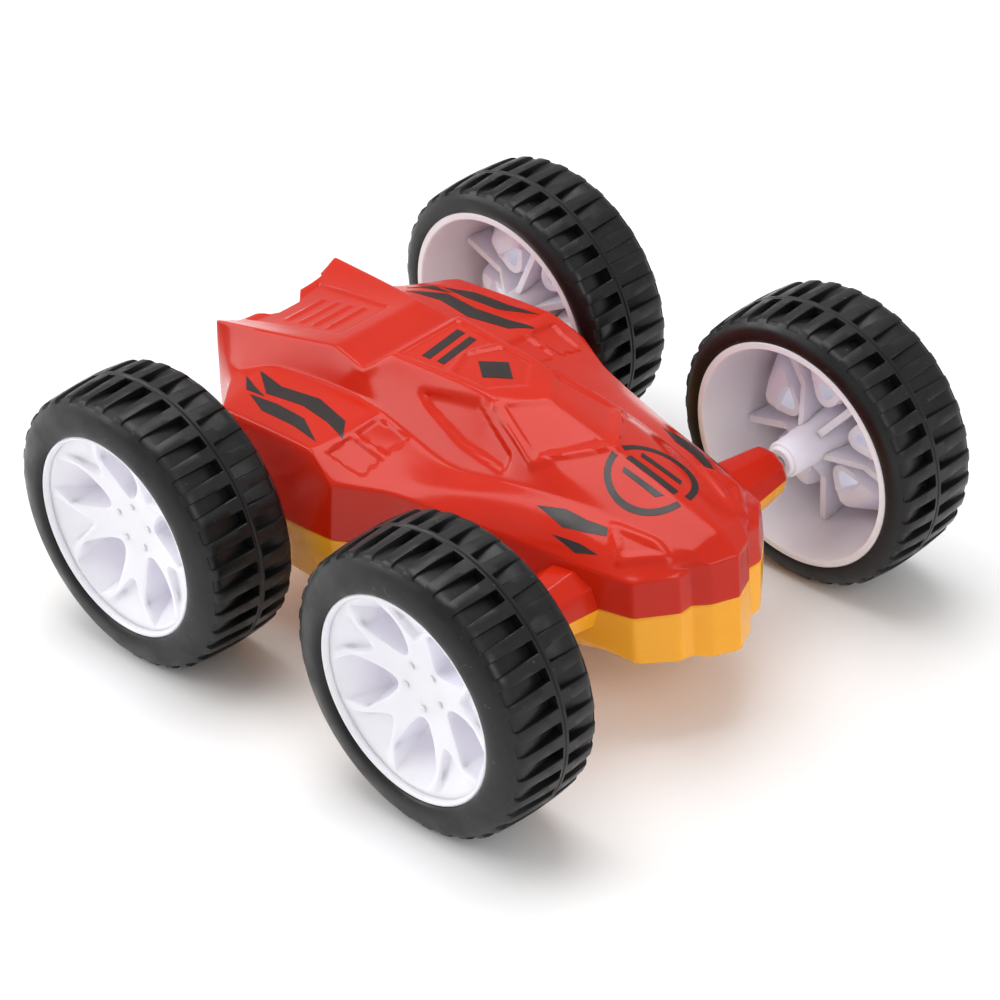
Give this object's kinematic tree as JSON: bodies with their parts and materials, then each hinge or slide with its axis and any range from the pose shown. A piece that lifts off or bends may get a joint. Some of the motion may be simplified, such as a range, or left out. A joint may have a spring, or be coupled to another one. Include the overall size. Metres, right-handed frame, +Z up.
{
  "type": "double-sided friction stunt car",
  "caption": "Friction-driven flip car: a shell on each side of one axle plane and four tall wheels, so it runs either way up.",
  "frame": {"origin": "on the ground, midway between the axles and on the car's centre plane", "axes": "+X towards the nose, +Y towards the car's left side, +Z up with the red shell on top"},
  "size_m": [0.118, 0.108, 0.05],
  "materials": {
    "red_shell": "glossy red ABS",
    "yellow_shell": "glossy amber ABS",
    "wheel_plastic": "white PP with a faint lavender tint",
    "tyre": "satin black soft PVC",
    "steel": "bright drawn steel",
    "gearbox_plastic": "dark grey ABS",
    "gear_plastic": "natural acetal",
    "flywheel_steel": "turned steel",
    "brass": "cut brass",
    "black_print": "pad-printed black ink"
  },
  "bodies": {
    "chassis": {"upper_shell": "red_shell", "lower_shell": "yellow_shell", "shell_screws": "steel", "gearbox_left": "gearbox_plastic", "gearbox_right": "gearbox_plastic", "gearbox_screws": "steel"},
    "front_wheel_set": {"front_axle": "steel", "front_left_rim": "wheel_plastic", "front_right_rim": "wheel_plastic", "front_left_tyre": "tyre", "front_right_tyre": "tyre"},
    "rear_wheel_set": {"rear_axle": "steel", "rear_left_rim": "wheel_plastic", "rear_right_rim": "wheel_plastic", "rear_left_tyre": "tyre", "rear_right_tyre": "tyre", "drive_gear": "gear_plastic"},
    "compound_gear_set": {"compound_gear": "gear_plastic", "compound_shaft": "steel"},
    "flywheel_set": {"flywheel": "flywheel_steel", "flywheel_pinion": "brass", "flywheel_shaft": "steel"}
  },
  "joints": [
    {"name": "front_axle_spin", "type": "hinge", "parent": "chassis", "child": "front_wheel_set", "pos_m": [0.034, 0, 0.025], "axis": [0, 1, 0], "continuous": true},
    {"name": "rear_axle_spin", "type": "hinge", "parent": "chassis", "child": "rear_wheel_set", "pos_m": [-0.034, 0, 0.025], "axis": [0, 1, 0], "continuous": true},
    {"name": "compound_gear_spin", "type": "hinge", "parent": "chassis", "child": "compound_gear_set", "pos_m": [-0.0214, 0, 0.025], "axis": [0, 1, 0], "continuous": true},
    {"name": "flywheel_spin", "type": "hinge", "parent": "chassis", "child": "flywheel_set", "pos_m": [-0.01, 0, 0.025], "axis": [0, 1, 0], "continuous": true}
  ],
  "couplings": [
    {"joint": "compound_gear_spin", "follows": "rear_axle_spin", "ratio": -3.2},
    {"joint": "flywheel_spin", "follows": "rear_axle_spin", "ratio": 8.96}
  ]
}
